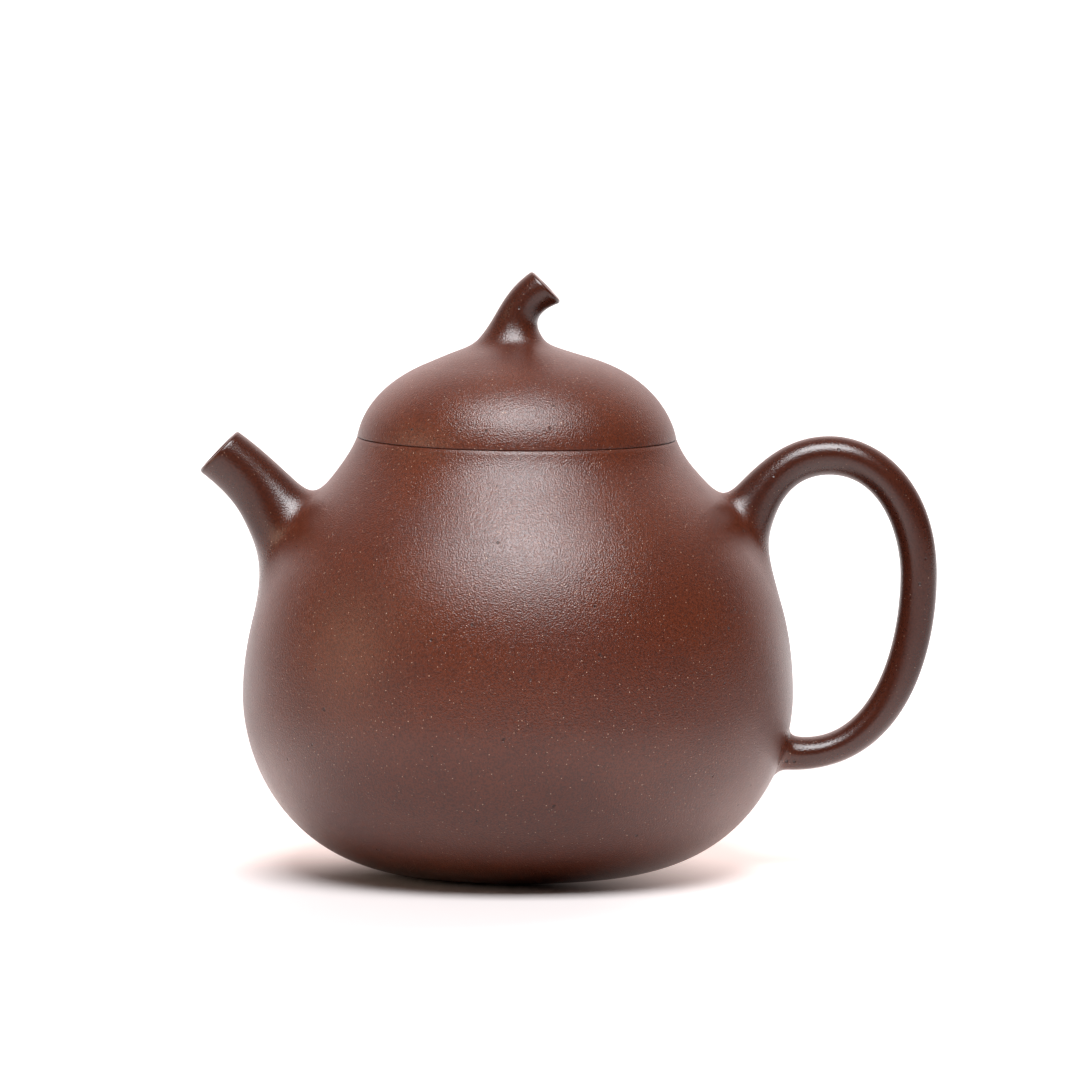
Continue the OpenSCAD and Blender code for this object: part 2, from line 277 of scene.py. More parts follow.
class Skin:
    """The outer face of a turned piece, as points and outward normals in the (r, z) plane."""

    def __init__(self, rail):
        self.t = np.linspace(0, len(rail) - 1, skin_points)
        self.points = rail_points(rail, self.t)
        self.normals = rail_sides(rail, self.t)

    def radius_at(self, z):
        return np.interp(z, self.points[:, 1], self.points[:, 0])

    def height_at(self, r):
        return np.interp(r, self.points[::-1, 0], self.points[::-1, 1])

    def t_at(self, z):
        return float(np.interp(z, self.points[:, 1], self.t))

    def nearest(self, places):
        """The nearest points of the skin to places in space, and its normals there."""
        r = np.hypot(places[:, 0], places[:, 1])
        flat = np.stack([r, places[:, 2]], axis=1)
        gaps = ((flat[:, None, :] - self.points[None, :, :]) ** 2).sum(axis=2)
        i = gaps.argmin(axis=1)
        out = places[:, :2] / np.maximum(r, 1e-9)[:, None]
        foot = np.column_stack([out * self.points[i, :1], self.points[i, 1]])
        normal = np.column_stack([out * self.normals[i, :1], self.normals[i, 1]])
        return foot, normal

    def above(self, places):
        """How high places stand above the skin, one to a row."""
        foot, normal = self.nearest(places)
        return ((places - foot) * normal).sum(axis=1, keepdims=True)


body_skin = Skin(body_rail)
lid_skin = Skin(lid_rail)


def past_body(places):
    """How far places stand out from the body, measured level."""
    r = np.hypot(places[..., 0], places[..., 1])
    return r - body_skin.radius_at(places[..., 2])


def past_lid(places):
    """How far places stand above the lid's dome."""
    r = np.hypot(places[..., 0], places[..., 1])
    return places[..., 2] - lid_skin.height_at(r)


# ---- Hand-made unevenness ------------------------------------------------------------

seam_tilt = 0.0105
lid_drift = 0.35
left_flat = 0.4
# Where the leans fade out: away from the axis, below the lid and over and under the seam
lean_r = (31, 41)
lean_z = (64, 78)
tilt_z = (2, 16)
# Where the drift of the lid fades out towards the spout
drift_x = (8, 22)
# The height of the flat, how far it reaches up and down, and where it fades out to the right
flat_z = 48
flat_reach = 9
flat_x = (-50, -25)


def fade(x, start, end):
    """1 before start, 0 after end, smooth in between."""
    f = np.clip((x - start) / (end - start), 0, 1)
    return 1 - f * f * (3 - 2 * f)


def by_hand(places):
    """The small leans and flats of a pot made by hand. All pieces get the same ones."""
    x, y, z = places[..., 0], places[..., 1], places[..., 2]
    r = np.hypot(x, y)
    inside = fade(r, *lean_r)
    up = fade(-z, -lean_z[1], -lean_z[0])
    tilt = fade(np.abs(z - seat_z), *tilt_z) * inside
    drift = up * inside * fade(-x, *drift_x)
    flat = np.exp(-((z - flat_z) / flat_reach) ** 2) * fade(x, *flat_x)
    moved = places.copy()
    moved[..., 0] += left_flat * flat - lid_drift * drift
    moved[..., 2] += -seam_tilt * x * tilt
    return moved


# ---- Clay smoothed with a wet finger, and painted shade on the small parts -----------

# How far from the body or the lid the clay is fully smoothed and fully painted darker as shade
rub_and_shade_reach = 6.5
# Where the small parts are luted on, how far round these places the clay is smoothed and painted
# darker as shade, and how much
luted_places = [
    [-46.5, 0, (spout_top_z + spout_low_z) / 2],
    [46.5, 0, (handle_root_z + handle_root_low_z) / 2],
    [50, 0, handle_low_z + handle_t / 2],
    [0, 0, dome_z]]
luted_start = 8
luted_end = 20
luted_rub_and_shade = 0.3
rub_and_shade_mark = "rub_and_painted_shade"


def rub_and_shade_at(places, past):
    """How far places were smoothed with a wet finger and painted darker as shade, from 0 to 1."""
    standing = 1 - fade(past(places), 0, rub_and_shade_reach)
    gaps = [np.linalg.norm(places - np.array(spot), axis=1) for spot in luted_places]
    near = np.min(gaps, axis=0)
    return 1 - (1 - standing) * (1 - luted_rub_and_shade * fade(near, luted_start, luted_end))


# ---- Mesh making ---------------------------------------------------------------------

# Edges that turn by more degrees than this stay sharp
sharp_turn = 35


def mark_rub_and_shade(mesh, rub_and_shade):
    mesh.attributes.new(rub_and_shade_mark, "FLOAT", "POINT").data.foreach_set("value", rub_and_shade)


def make_piece(name, places, faces, marks=None, materials=(), rub_and_shade=None):
    """A smooth-shaded mesh object from places in millimetres.

    marks gives each face its material. The last argument says how far each place was smoothed with
    a wet finger and painted darker as shade, from 0 to 1."""
    mesh = bpy.data.meshes.new(name)
    mesh.from_pydata([tuple(p) for p in by_hand(places) * MM], [], faces)
    for material in materials:
        mesh.materials.append(material)
    if marks is not None:
        mesh.polygons.foreach_set("material_index", marks)
    build = bmesh.new()
    build.from_mesh(mesh)
    bmesh.ops.recalc_face_normals(build, faces=build.faces)
    for face in build.faces:
        face.smooth = True
    for edge in build.edges:
        if len(edge.link_faces) == 2 and edge.calc_face_angle() > math.radians(sharp_turn):
            edge.smooth = False
    build.to_mesh(mesh)
    build.free()
    if rub_and_shade is not None:
        mark_rub_and_shade(mesh, rub_and_shade)
    piece = bpy.data.objects.new(name, mesh)
    bpy.context.scene.collection.objects.link(piece)
    return piece


def turned(profile, looped):
    """Places and faces of a profile turned about the z axis. A point on the axis is made once."""
    angles = np.linspace(0, 2 * math.pi, turns, endpoint=False)
    places = []
    rows = []
    for r, z in profile:
        start = len(places)
        if r < 1e-6:
            places.append((0, 0, z))
            rows.append([start] * turns)
        else:
            places.extend((r * math.cos(a), r * math.sin(a), z) for a in angles)
            rows.append(list(range(start, start + turns)))
    faces = []
    owners = []
    last = len(rows) if looped else len(rows) - 1
    for i in range(last):
        low = rows[i]
        high = rows[(i + 1) % len(rows)]
        for j in range(turns):
            k = (j + 1) % turns
            corners = [low[j], low[k], high[k], high[j]]
            face = [c for n, c in enumerate(corners) if c not in corners[:n]]
            if len(face) > 2:
                faces.append(face)
                owners.append(i)
    return np.array(places, float), faces, owners


def ringed(rows, looped=False):
    """Places and faces of rows of points, each row a closed ring. An open tube gets two caps."""
    count = rows[0].shape[0]
    places = np.concatenate(rows)
    faces = []
    last = len(rows) if looped else len(rows) - 1
    for i in range(last):
        low = i * count
        high = (i + 1) % len(rows) * count
        for j in range(count):
            k = (j + 1) % count
            faces.append([low + j, low + k, high + k, high + j])
    if not looped:
        faces.append(list(range(count)))
        faces.append(list(range((len(rows) - 1) * count, len(rows) * count)))
    return places, faces


# ---- Lofts and their flared roots ----------------------------------------------------

class Loft:
    """Ellipses that span two rails.

    v = 0 lies on the high rail and v = 180 degrees on the low one."""

    def __init__(self, high, low, half_width, columns):
        self.high = high
        self.low = low
        self.half_width = half_width
        self.v = np.linspace(0, 2 * math.pi, columns, endpoint=False)

    def at(self, t):
        """One ring for a number, or a ring with its own t for each column."""
        t = np.broadcast_to(np.asarray(t, float), self.v.shape)
        a = rail_points(self.high, t)
        b = rail_points(self.low, t)
        middle = (a + b) / 2
        reach = (a - b) / 2
        c = np.cos(self.v)
        return np.stack([
            middle[:, 0] + reach[:, 0] * c,
            self.half_width(t) * np.sin(self.v),
            middle[:, 1] + reach[:, 1] * c], axis=1)

    def each(self, value):
        """A value for each column, from one number or from one for each."""
        return np.broadcast_to(value, self.v.shape)

    def meets(self, past, t_out, t_in, back):
        """For each column, t where it meets a face, and t at a distance back from there."""
        ts = np.linspace(t_out, t_in, meet_steps)
        grid = np.stack([self.at(t) for t in ts])
        gaps = past(grid)
        steps = np.linalg.norm(np.diff(grid, axis=0), axis=2)
        length = np.vstack([np.zeros(len(self.v)), np.cumsum(steps, axis=0)])
        meet = np.zeros(len(self.v))
        away = np.zeros(len(self.v))
        for j in range(len(self.v)):
            inside = np.nonzero(gaps[:, j] < 0)[0]
            i = inside[0] if len(inside) else len(ts) - 1
            share = gaps[i - 1, j] / (gaps[i - 1, j] - gaps[i, j]) if len(inside) else 1
            meet[j] = ts[i - 1] + share * (ts[i] - ts[i - 1])
            s = length[i - 1, j] + share * (length[i, j] - length[i - 1, j])
            away[j] = np.interp(s - self.each(back)[j], length[:, j], ts)
        return meet, away


def clear_of(skin, row, f):
    """A blend's row at f, eased up so that it never sinks into the skin.

    The lift is 0 at both ends. Half way (f * (1 - f)) ** 2 is 1 / 16 and the lift is full."""
    normal = skin.nearest(row)[1]
    high = skin.above(row)
    soft = blend_lift * 16 * (f * (1 - f)) ** 2
    return row + (np.sqrt(high ** 2 + soft ** 2) - high) / 2 * normal


def flared(loft, meet, away, skin, spread, rows, hold, ease):
    """Rows from the loft's columns at away, out onto the skin beyond where they meet it.

    hold and ease say how long the blend keeps straight on along the loft and along the skin, as
    shares of the way to the corner between the two."""
    start = loft.at(away)
    met = loft.at(meet)
    look = 0.05
    way_in = unit(loft.at(away + look * (meet - away)) - start)
    near = np.linalg.norm(met - start, axis=1, keepdims=True)
    high = skin.above(start)
    near = near * high / (high - skin.above(start + near * way_in))
    corner = start + near * way_in
    normal = skin.nearest(met)[1]
    out = met - met.mean(axis=0)
    out = unit(out - (out * normal).sum(axis=1, keepdims=True) * normal)
    end, normal = skin.nearest(met + loft.each(spread)[:, None] * out)
    out = unit(out - (out * normal).sum(axis=1, keepdims=True) * normal)
    far = np.linalg.norm(end - corner, axis=1, keepdims=True)
    b = start + loft.each(hold)[:, None] * near * way_in
    c = end - loft.each(ease)[:, None] * far * out
    blend = []
    for f in np.linspace(0, 1, rows + 1):
        blend.append(clear_of(skin, eased(start, b, c, end, f), f))
    under = end - skirt * normal
    return blend, under


def round_the_loft(loft, high, side, low):
    """A value for each column, given on the high rail, on both sides and on the low rail."""
    c = np.cos(loft.v)
    return high * np.maximum(c, 0) ** 2 + low * np.maximum(-c, 0) ** 2 + side * (1 - c * c)


def end_rings(loft, t, side, edge, hole_r, hole_edge):
    """The rounded end of a loft: its outer edge, its flat and the edge of its hole."""
    a = rail_points(loft.high, t)
    b = rail_points(loft.low, t)
    middle = (a + b) / 2
    half = np.linalg.norm(a - b) / 2
    u = (a - b) / 2 / half
    out = side * np.array([u[1], -u[0]])
    half_w = float(loft.half_width(t))

    def ring(up, across, wide):
        centre = middle + up * out
        c = np.cos(loft.v) * across
        return np.stack([centre[0] + u[0] * c, wide * np.sin(loft.v), centre[1] + u[1] * c], axis=1)

    rings = []
    for angle in np.radians(edge_turns):
        shrink = edge * (1 - math.cos(angle))
        rings.append(ring(edge * math.sin(angle), half - shrink, half_w - shrink))
    r = hole_r + hole_edge
    for share in flat_shares:
        across = half - edge + share * (r - half + edge)
        wide = half_w - edge + share * (r - half_w + edge)
        rings.append(ring(edge, across, wide))
    for angle in np.radians(hole_turns):
        r = hole_r + hole_edge * (1 - math.sin(angle))
        rings.append(ring(edge - hole_edge * (1 - math.cos(angle)), r, r))
    return rings


# ---- The pot's body ------------------------------------------------------------------

def body_profile():
    """The body's outline in pieces: pressed base, outside, seat and mouth, inside."""
    ring_inner = foot_r - foot_ring_w
    dish_r = (ring_inner ** 2 + base_dish ** 2) / (2 * base_dish)
    dish_x = np.linspace(0, ring_inner - dish_margin, 14)
    dish_z = base_dish - dish_r + np.sqrt(dish_r ** 2 - dish_x ** 2)
    base = np.vstack([
        np.column_stack([dish_x, dish_z]),
        [[ring_inner + ring_margin, 0], [foot_r - foot_edge_w, 0]]])
    ring_t = body_skin.t_at(seat_z - mouth_edge_h)
    rim_t = body_skin.t_at(seat_z - seam_edge)
    outside = np.vstack([
        rail_points(body_rail, np.linspace(foot_t, 1, flank_rows)),
        rail_points(body_rail, np.linspace(1, rim_t, flank_rows)[1:])])
    edge = seam_edge
    under_z = inset_points(body_rail, [ring_t], wall)[0]
    seat = np.vstack([
        arc([seat_r - edge, seat_z - edge], edge, 20, 90),
        arc([mouth_r + edge, seat_z - edge], edge, 90, 180),
        arc([mouth_r + edge, under_z[1] + edge], edge, 180, 270)])
    inner_t = np.concatenate([
        np.linspace(ring_t, 1, inner_rows),
        np.linspace(1, inner_low_t, 30)[1:]])
    inner = inset_points(body_rail, inner_t, wall)
    joint = inset_points(body_rail, [0], wall)[0]
    low = joint + [-floor_fillet, fillet_rise]
    pull_in, pull_out = [joint + pull for pull in fillet_pulls]
    corner = bezier(inner[-1], pull_in, pull_out, low, np.linspace(0, 1, 8)[1:])
    ground = np.linspace(low, [0, joint[1] + base_dish], 6)[1:]
    return base, outside, seat, np.vstack([inner, corner, ground])


def bore_points(loft, t):
    """A round ring of the spout's bore at t."""
    a = rail_points(loft.high, t)
    b = rail_points(loft.low, t)
    middle = (a + b) / 2
    u = unit(a - b)
    r = bore_root_r + (bore_tip_r - bore_root_r) * t
    c = np.cos(loft.v) * r
    return np.stack([middle[0] + u[0] * c, np.sin(loft.v) * r, middle[1] + u[1] * c], axis=1)


def cut_bore(piece, loft):
    """Cuts the spout's hole through the body's wall."""
    ring = bore_points(loft, 0.0)
    centre = ring.mean(axis=0)
    ring = centre + (ring - centre) * (bore_root_r + cutter_play) / bore_root_r
    far = rail_points(loft.high, 0.5) + rail_points(loft.low, 0.5)
    way = unit(np.array([far[0] / 2, 0, far[1] / 2]) - centre)
    places, faces = ringed([ring - cutter_in * way, ring + cutter_out * way])
    cutter = make_piece("bore_cutter", places, faces)
    cut = piece.modifiers.new("bore", "BOOLEAN")
    cut.operation = "DIFFERENCE"
    cut.solver = "EXACT"
    cut.object = cutter
    bpy.context.view_layer.update()
    seen = bpy.context.evaluated_depsgraph_get()
    shaped = bpy.data.meshes.new_from_object(piece.evaluated_get(seen))
    piece.modifiers.clear()
    piece.data = shaped
    shaped.name = piece.name
    tool = cutter.data
    bpy.data.objects.remove(cutter)
    bpy.data.meshes.remove(tool)


def build_body(loft, outer, raw):
    base, outside, seat, inside = body_profile()
    profile = np.vstack([base, outside, seat, inside])
    places, faces, owners = turned(profile, looped=False)
    owners = np.array(owners)
    # The burnished finish starts at the foot and ends on the seat, past its rounded edge
    seat_edge_rows = 6
    shown_from = len(base)
    shown_to = len(base) + len(outside) + seat_edge_rows
    marks = np.where((owners >= shown_from) & (owners < shown_to), 0, 1).tolist()
    body = make_piece("pot_body", places, faces, marks, (outer, raw))
    cut_bore(body, loft)
    places = np.array([v.co for v in body.data.vertices]) / MM
    mark_rub_and_shade(body.data, rub_and_shade_at(places, past_body))
    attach(body, "pot")
    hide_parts("base_disc", "body_wall", "shoulder_disc", "mouth_ring")
    return body


# ---- Lid -----------------------------------------------------------------------------

def build_lid(outer, raw):
    edge = seam_edge
    low_z = seat_z + seam_gap
    rim_t = lid_skin.t_at(seat_z + edge)
    vent_t = float(np.interp(-vent_r - 0.35, -lid_skin.points[:, 0], lid_skin.t))
    # Where the rim's rows pass into those of the dome
    rim_end_t = 0.12
    outside = rail_points(lid_rail, np.concatenate([
        np.linspace(rim_t, rim_end_t, 8)[:-1],
        np.linspace(rim_end_t, vent_t, dome_rows)]))
    rim = arc([seat_r - edge, low_z + edge], edge, 270, 350)
    collar_in = collar_r - collar_wall
    collar = np.vstack([
        [[collar_r, low_z]],
        arc([collar_r - collar_edge, collar_low + collar_edge], collar_edge, 0, -90),
        arc([collar_in + collar_edge, collar_low + collar_edge], collar_edge, 270, 180)])
    ring_t = lid_skin.t_at(seat_z + lid_ring_h)
    inner_top = inset_points(lid_rail, np.linspace(ring_t, vent_t, inner_rows), wall)
    inner_top = inner_top[inner_top[:, 0] > vent_r + 0.1]
    hollow = inner_top[inner_top[:, 0] < collar_in - 0.6]
    vent = np.array([
        [vent_r + vent_play, dome_z - wall],
        [vent_r + vent_play, dome_z - 0.1]])
    # Round the loop: up the outside, down the vent, out under the dome and down the collar
    profile = np.vstack([rim, outside, vent[::-1], hollow[::-1], collar[::-1]])
    places, faces, owners = turned(profile, looped=True)
    shown = len(rim) + len(outside) - 1
    marks = [0 if owner < shown else 1 for owner in owners]
    rub_and_shade = rub_and_shade_at(places, past_lid)
    lid = make_piece("lid_cap", places, faces, marks, (outer, raw), rub_and_shade)
    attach(lid, "lid")
    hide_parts("lid_dome", "lid_seat_ring", "lid_collar")
    return lid


# ---- Spout ---------------------------------------------------------------------------

def spout_loft():
    up = along(90 - tip_lean)
    out = np.array([-up[1], up[0]])
    tip_low = np.array([-belly_r - spout_reach, seat_z + spout_rise - spout_tip_d * up[1]])
    tip_low = tip_low - spout_lip * out
    tip_top = tip_low + spout_tip_d * up
    high = [
        [bury - body_skin.radius_at(spout_top_z), spout_top_z, 148, 0, 0.26],
        [tip_top[0], tip_top[1], 144, 0.4, 0]]
    low = [
        [flare_bury - body_skin.radius_at(spout_low_z), spout_low_z, 117, 0, 0.44],
        [tip_low[0], tip_low[1], 142, 0.5, 0]]

    def half_width(t):
        return spout_tip_d / 2 + (spout_root_w - spout_tip_d) / 2 * np.maximum(1 - t, 0) ** 2.4

    return Loft(high, low, half_width, spout_columns)


def build_spout(loft, outer, raw):
    back = round_the_loft(loft, *spout_blend_start)
    spread = round_the_loft(loft, *spout_blend_end)
    meet, away = loft.meets(past_body, 1, 0, back)
    keep = round_the_loft(loft, *blend_keep)
    blend, under = flared(loft, meet, away, body_skin, spread, blend_rows, keep, keep)
    rows = [under] + blend[::-1]
    for share in np.linspace(0, 1, spout_rows)[1:]:
        rows.append(loft.at(away + (1 - away) * share))
    rows += end_rings(loft, 1.0, -1, spout_lip, bore_tip_r, lip_inner_edge)
    outside = len(rows) - hole_rings
    for t in np.linspace(1, bore_end_t, bore_rows)[1:]:
        rows.append(bore_points(loft, t))
    places, faces = ringed(rows, looped=True)
    marks = [0 if i // spout_columns < outside else 1 for i in range(len(faces))]
    rub_and_shade = rub_and_shade_at(places, past_body)
    spout = make_piece("spout_cone", places, faces, marks, (outer, raw), rub_and_shade)
    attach(spout, "pot")
    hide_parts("spout")
    return spout


# ---- Handle --------------------------------------------------------------------------

def build_handle(outer):
    back_t = handle_t - handle_thinning / 3
    low_t = handle_t - handle_thinning
    crown_x = belly_r + 6.6
    high = [
        [body_skin.radius_at(handle_root_z) - bury, handle_root_z, 34, 0, 0.24],
        [crown_x, crown_z, 0, 0.45, 0.31],
        [back_x, handle_back_z, -90, 0.5, 0.33],
        [belly_r, handle_low_z, -180, 0.46, 0.33],
        [body_skin.radius_at(handle_low_z) - bury, handle_low_z, -180, 0.33, 0]]
    low_z = handle_low_z + low_t
    low = [
        [body_skin.radius_at(handle_root_low_z) - flare_bury, handle_root_low_z, 79, 0, 0.1],
        [crown_x, crown_z - handle_t, 0, 0.55, 0.41],
        [back_x - back_t, handle_back_z, -90, 0.34, 0.36],
        [belly_r + bury, low_z, -180, 0.37, 0.25],
        [body_skin.radius_at(low_z) - bury, low_z + low_flare, -190, 0.33, 0]]

    def half_width(t):
        upper = root_flare * np.maximum(1 - t, 0) ** 2
        lower = low_flare * np.maximum(t - 3, 0) ** 2
        return handle_w / 2 + upper + lower

    loft = Loft(high, low, half_width, handle_columns)
    back = round_the_loft(loft, *handle_blend_start)
    spread = round_the_loft(loft, *handle_blend_end)
    meet, away = loft.meets(past_body, 1, 0, back)
    keep = round_the_loft(loft, *blend_keep)
    upper, upper_under = flared(loft, meet, away, body_skin, spread, blend_rows, keep, keep)
    meet_low, away_low = loft.meets(past_body, 3, 4, low_blend_start)
    lower, lower_under = flared(
        loft, meet_low, away_low, body_skin, low_blend_end, low_blend_rows,
        low_blend_hold, low_blend_ease)
    rows = [upper_under] + upper[::-1]
    for share in np.linspace(0, 1, handle_rows)[1:-1]:
        rows.append(loft.at(away + (away_low - away) * share))
    rows += lower + [lower_under]
    places, faces = ringed(rows)
    rub_and_shade = rub_and_shade_at(places, past_body)
    handle = make_piece("handle_loop", places, faces, None, (outer,), rub_and_shade)
    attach(handle, "pot")
    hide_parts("handle")
    return handle


# ---- Stem ----------------------------------------------------------------------------

def build_stem(outer, raw):
    stem_top = np.array([stem_lean, dome_z + stem_h])
    cut_low = stem_top + cut_w * along(cut_lean - 90)
    root_x = stem_root_w / 2
    root_z = float(lid_skin.height_at(root_x)) - stem_bury
    left = [
        [-root_x - stem_shift, root_z, 30, 0, 0.47],
        [stem_top[0], stem_top[1], 36, 0.41, 0]]
    right = [
        [root_x - stem_shift, root_z, 174, 0, 0.3],
        [cut_low[0], cut_low[1], 20, 0.88, 0]]

    def half_width(t):
        return cut_w / 2 + (stem_root_w - cut_w) / 2 * np.maximum(1 - t, 0) ** 3

    loft = Loft(left, right, half_width, stem_columns)
    meet, away = loft.meets(past_lid, 1, 0, stem_blend_start)
    spread = round_the_loft(loft, *stem_blend_end)
    blend, under = flared(
        loft, meet, away, lid_skin, spread, blend_rows, stem_blend_hold, stem_blend_ease)
    rows = [under] + blend[::-1]
    for share in np.linspace(0, 1, stem_rows)[1:]:
        rows.append(loft.at(away + (1 - away) * share))
    rows += end_rings(loft, 1.0, 1, stem_edge, vent_r, vent_edge)
    outside = len(rows) - hole_rings
    # The air hole slopes down to the neck, then goes straight down
    neck = np.array([0, 0, dome_z + neck_h])
    mouth = rows[-1]
    slope = neck - mouth.mean(axis=0)
    way = unit(slope)
    reach = np.linalg.norm(slope)
    for share in (0.3, 0.6, 0.8):
        rows.append(mouth + way * reach * share)
    level = np.stack([
        -vent_r * np.cos(loft.v),
        vent_r * np.sin(loft.v),
        np.zeros_like(loft.v)], axis=1)
    for z in (neck[2] - vent_turn, dome_z - vent_end):
        rows.append(level + [0, 0, z])
    places, faces = ringed(rows, looped=True)
    marks = [0 if i // stem_columns < outside else 1 for i in range(len(faces))]
    rub_and_shade = rub_and_shade_at(places, past_lid)
    stem = make_piece("stem_grip", places, faces, marks, (outer, raw), rub_and_shade)
    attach(stem, "lid")
    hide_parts("stem_knob")
    return stem


# ---- Clay finishes -------------------------------------------------------------------

def new_group(name, inputs, outputs):
    """An empty node group. Inputs are (kind, label, value) and outputs (kind, label)."""
    group = bpy.data.node_groups.new(name, "ShaderNodeTree")
    for kind, label, value in inputs:
        socket = group.interface.new_socket(name=label, in_out="INPUT", socket_type=kind)
        if value is not None:
            socket.default_value = value
    for kind, label in outputs:
        group.interface.new_socket(name=label, in_out="OUTPUT", socket_type=kind)
    return group


class Nodes:
    """Short ways to add and join the nodes of one tree."""

    def __init__(self, tree):
        self.tree = tree

    def add(self, kind, inputs=(), **settings):
        node = self.tree.nodes.new(kind)
        for key, value in settings.items():
            setattr(node, key, value)
        for key, value in dict(inputs).items():
            self.feed(value, node.inputs[key])
        return node

    def feed(self, value, socket):
        if isinstance(value, bpy.types.NodeSocket):
            self.tree.links.new(value, socket)
        else:
            socket.default_value = value

    def noise(self, vector, scale, detail=2.0, rough=0.5):
        inputs = {"Vector": vector, "Scale": scale, "Detail": detail, "Roughness": rough}
        return self.add("ShaderNodeTexNoise", inputs, noise_dimensions="3D").outputs["Fac"]

    def cells(self, vector, scale):
        inputs = {"Vector": vector, "Scale": scale}
        return self.add("ShaderNodeTexVoronoi", inputs, voronoi_dimensions="3D")

    def maths(self, operation, a, b):
        return self.add("ShaderNodeMath", {0: a, 1: b}, operation=operation).outputs[0]

    def spread(self, value, from_low, from_high, to_low=0.0, to_high=1.0, smooth=True):
        """A value moved from one range to another, and held at the ends."""
        inputs = {
            "Value": value,
            "From Min": from_low,
            "From Max": from_high,
            "To Min": to_low,
            "To Max": to_high,
        }
        kind = "SMOOTHSTEP" if smooth else "LINEAR"
        return self.add("ShaderNodeMapRange", inputs, interpolation_type=kind).outputs["Result"]

    def mix(self, factor, a, b):
        """Colour a where factor is 0 and colour b where it is 1."""
        node = self.add("ShaderNodeMix", data_type="RGBA")
        self.feed(factor, node.inputs["Factor"])
        # The colour sockets share their names with the number sockets, so they go by place
        self.feed(a, node.inputs[6])
        self.feed(b, node.inputs[7])
        return node.outputs[2]


# Sand and pits lie one to a cell, with so many cells to the metre. Sizes run from the smallest
# to the largest: for sand as shares of the group's Sand size, for pits as shares of a cell. An
# edge says how many sizes out a grain has ended, and within how many it is whole.
sand_cells_per_m = 1300.0
sand_sizes = (0.55, 1.5)
sand_edge = (1.25, 0.75)
pit_cells_per_m = 300.0
pit_sizes = (0.035, 0.1)
pit_edge = (1.2, 0.6)
# Cells are pushed about, so that no grain is quite round
wobble_scale = 900.0
wobble_reach = 0.0004
mottle_scale = 55.0
mottle_range = (0.3, 0.7)
fine_scale = 2600.0


def grains_group():
    """Masks of the clay: sand grains, pits and a slow mottle, from the place on the pot."""
    group = new_group("clay_grains", [
        ("NodeSocketVector", "Place", None),
        ("NodeSocketFloat", "Sand share", 0.85),
        ("NodeSocketFloat", "Sand size", 0.085),
        ("NodeSocketFloat", "Pit share", 0.5),
    ], [
        ("NodeSocketFloat", "Sand"),
        ("NodeSocketFloat", "Pit"),
        ("NodeSocketFloat", "Mottle"),
        ("NodeSocketFloat", "Fine"),
    ])
    n = Nodes(group)
    given = n.add("NodeGroupInput").outputs
    place = given["Place"]
    warp = n.add("ShaderNodeVectorMath", {0: place}, operation="ADD")
    wobble = n.add("ShaderNodeTexNoise", {"Vector": place, "Scale": wobble_scale, "Detail": 1.0})
    push = {0: wobble.outputs["Color"], "Scale": wobble_reach}
    shift = n.add("ShaderNodeVectorMath", push, operation="SCALE")
    n.feed(shift.outputs[0], warp.inputs[1])
    sand_cells = n.cells(warp.outputs[0], sand_cells_per_m)
    pick = n.add("ShaderNodeSeparateColor", {"Color": sand_cells.outputs["Color"]})
    chosen = n.maths("LESS_THAN", pick.outputs[0], given["Sand share"])
    varied = n.spread(pick.outputs[1], 0.0, 1.0, *sand_sizes, smooth=False)
    size = n.maths("MULTIPLY", varied, given["Sand size"])
    near = n.maths("DIVIDE", sand_cells.outputs["Distance"], size)
    sand = n.maths("MULTIPLY", n.spread(near, *sand_edge), chosen)
    pit_cells = n.cells(warp.outputs[0], pit_cells_per_m)
    pit_pick = n.add("ShaderNodeSeparateColor", {"Color": pit_cells.outputs["Color"]})
    pitted = n.maths("LESS_THAN", pit_pick.outputs[2], given["Pit share"])
    pit_size = n.spread(pit_pick.outputs[1], 0.0, 1.0, *pit_sizes, smooth=False)
    pit_near = n.maths("DIVIDE", pit_cells.outputs["Distance"], pit_size)
    pit = n.maths("MULTIPLY", n.spread(pit_near, *pit_edge), pitted)
    mottle = n.noise(place, mottle_scale, 3.0, 0.55)
    fine = n.noise(place, fine_scale, 2.0, 0.6)
    out = n.add("NodeGroupOutput")
    n.feed(sand, out.inputs["Sand"])
    n.feed(pit, out.inputs["Pit"])
    n.feed(n.spread(mottle, *mottle_range), out.inputs["Mottle"])
    n.feed(fine, out.inputs["Fine"])
    return group


# How far the darkest fine grain and the pits go towards the dark colour, and how far the smoothed
# small parts and the clay round their roots are painted darker towards it as shade
fine_dark = 0.6
pit_dark = 0.8
painted_shade_dark = 0.6
# Where fine grain turns dark, and how much of it shows
fine_range = (0.6, 0.35)
fine_shown = (0.0, 0.9)


